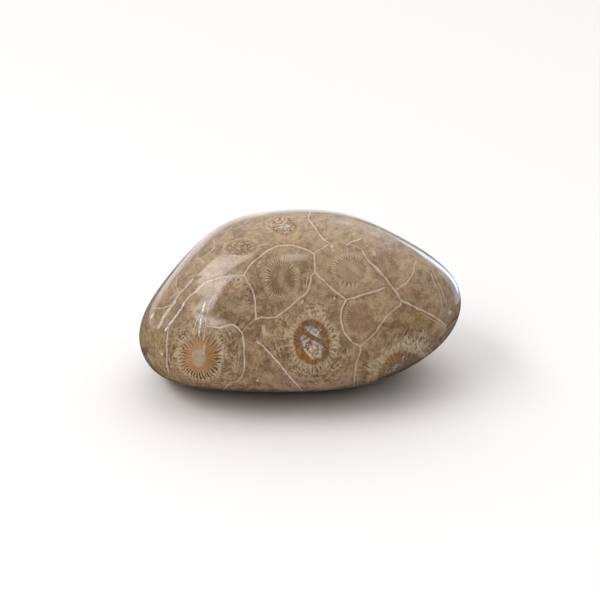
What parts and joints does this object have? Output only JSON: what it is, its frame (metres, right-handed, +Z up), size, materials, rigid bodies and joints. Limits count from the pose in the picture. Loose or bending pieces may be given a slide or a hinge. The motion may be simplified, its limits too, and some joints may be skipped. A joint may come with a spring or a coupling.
{
  "type": "polished fossil coral stone",
  "caption": "Smooth, lopsided palm stone of polished fossil coral limestone, showing corallite rings and pale cell walls, resting on a small flat spot.",
  "frame": {"origin": "middle of the footprint, at the level of the flat spot that the stone rests on", "axes": "+X along the stone's length, with the blunt low end at -X; +Z up; the side with the boldest corallites faces -Y"},
  "size_m": [0.06, 0.0416, 0.0342],
  "materials": {
    "coral_limestone": "hand-polished to a gloss"
  },
  "bodies": {
    "root": {"coral_stone": "coral_limestone"}
  },
  "joints": []
}
